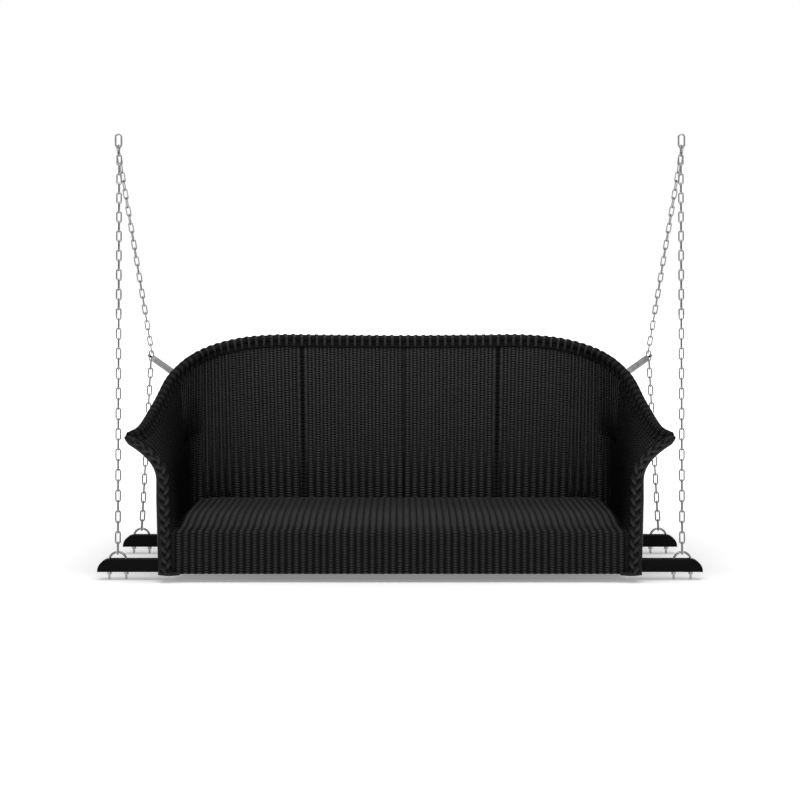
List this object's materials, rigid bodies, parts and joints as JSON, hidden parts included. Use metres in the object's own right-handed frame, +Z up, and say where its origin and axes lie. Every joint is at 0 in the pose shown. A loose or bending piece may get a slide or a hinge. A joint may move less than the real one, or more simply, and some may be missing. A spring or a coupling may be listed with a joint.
{
  "type": "porch swing",
  "caption": "Woven hanging porch swing: wrap-around back with flared, braid-edged arms and a woven seat, slung on rails from U-bolts and chains that gather in hanging links.",
  "frame": {"origin": "midway between the two hook points, at the inner top of the hanging links", "axes": "+X along the seat towards its right arm as seen from the front, +Y to the rear, +Z up"},
  "size_m": [1.662, 0.6779, 1.247],
  "materials": {
    "woven_strand": "satin",
    "black_rail": "satin",
    "black_tube": "satin",
    "grey_tube": "satin",
    "zinc_chain": "satin",
    "zinc_bolt": "satin",
    "frame_screw": "satin",
    "black_cap": "matte"
  },
  "bodies": {
    "hangers": {"hanging_link_left": "zinc_chain", "hanging_link_right": "zinc_chain"},
    "link_pair": {"first_links_left": "zinc_chain", "first_links_right": "zinc_chain"},
    "chain_front_left": {"front_chain_left": "zinc_chain"},
    "chain_front_right": {"front_chain_right": "zinc_chain"},
    "chain_rear_left": {"rear_upper_chain_left": "zinc_chain"},
    "chain_rear_right": {"rear_upper_chain_right": "zinc_chain"},
    "seat": {"rear_lower_chain_left": "zinc_chain", "rear_lower_chain_right": "zinc_chain", "u_bolt_front_left": "zinc_bolt", "u_bolt_front_right": "zinc_bolt", "u_bolt_rear_left": "zinc_bolt", "u_bolt_rear_right": "zinc_bolt", "u_bolt_washers": "zinc_bolt", "u_bolt_nuts": "zinc_bolt", "front_rail": "black_rail", "rear_rail": "black_rail", "rail_screws": "frame_screw", "collar_screws": "frame_screw", "base_front_tube": "black_tube", "base_rear_tube": "black_tube", "base_side_tube_left": "black_tube", "base_side_tube_right": "black_tube", "seat_front_tube": "black_tube", "seat_rear_tube": "black_tube", "seat_side_tube_left": "black_tube", "seat_side_tube_right": "black_tube", "riser_tubes": "black_tube", "seat_slats": "black_tube", "nose_rod": "black_tube", "front_post_left": "black_tube", "front_post_right": "black_tube", "rim_tube": "black_tube", "back_upright_left": "black_tube", "back_upright_right": "black_tube", "corner_post_left": "black_tube", "corner_post_right": "black_tube", "support_collar_left": "black_tube", "support_collar_right": "black_tube", "woven_seat": "woven_strand", "woven_back": "woven_strand", "woven_arm_left": "woven_strand", "woven_arm_right": "woven_strand", "rim_border": "woven_strand", "arm_wrap_left": "woven_strand", "arm_wrap_right": "woven_strand", "arm_braid_left": "woven_strand", "arm_braid_right": "woven_strand", "support_arm_left": "grey_tube", "support_arm_right": "grey_tube", "support_cap_left": "black_cap", "support_cap_right": "black_cap"}
  },
  "joints": [
    {"name": "swing", "type": "hinge", "parent": "hangers", "child": "link_pair", "pos_m": [0, 0, -0.0365], "axis": [1, 0, 0], "range_deg": [-22, 22]},
    {"name": "sway", "type": "hinge", "parent": "link_pair", "child": "chain_front_left", "pos_m": [-0.8171, -0.00502, -0.0573], "axis": [0, 1, 0], "range_deg": [-2, 2]},
    {"name": "seat_level", "type": "hinge", "parent": "chain_front_left", "child": "seat", "pos_m": [-0.7745, -0.273, -1.16765], "axis": [0, 1, 0], "range_deg": [-2.3, 2.3]},
    {"name": "right_front_chain", "type": "hinge", "parent": "link_pair", "child": "chain_front_right", "pos_m": [0.8171, -0.00502, -0.0573], "axis": [0, 1, 0], "range_deg": [-2.2, 2.2]},
    {"name": "left_rear_chain", "type": "hinge", "parent": "link_pair", "child": "chain_rear_left", "pos_m": [-0.82067, 0.01012, -0.05486], "axis": [0, 1, 0], "range_deg": [-4.2, 4.2]},
    {"name": "right_rear_chain", "type": "hinge", "parent": "link_pair", "child": "chain_rear_right", "pos_m": [0.82067, 0.01012, -0.05486], "axis": [0, 1, 0], "range_deg": [-4.2, 4.2]}
  ],
  "couplings": [
    {"joint": "seat_level", "follows": "sway", "ratio": -1.055},
    {"joint": "right_front_chain", "follows": "sway", "ratio": 1},
    {"joint": "left_rear_chain", "follows": "sway", "ratio": 1.9377},
    {"joint": "right_rear_chain", "follows": "sway", "ratio": 1.9377}
  ]
}
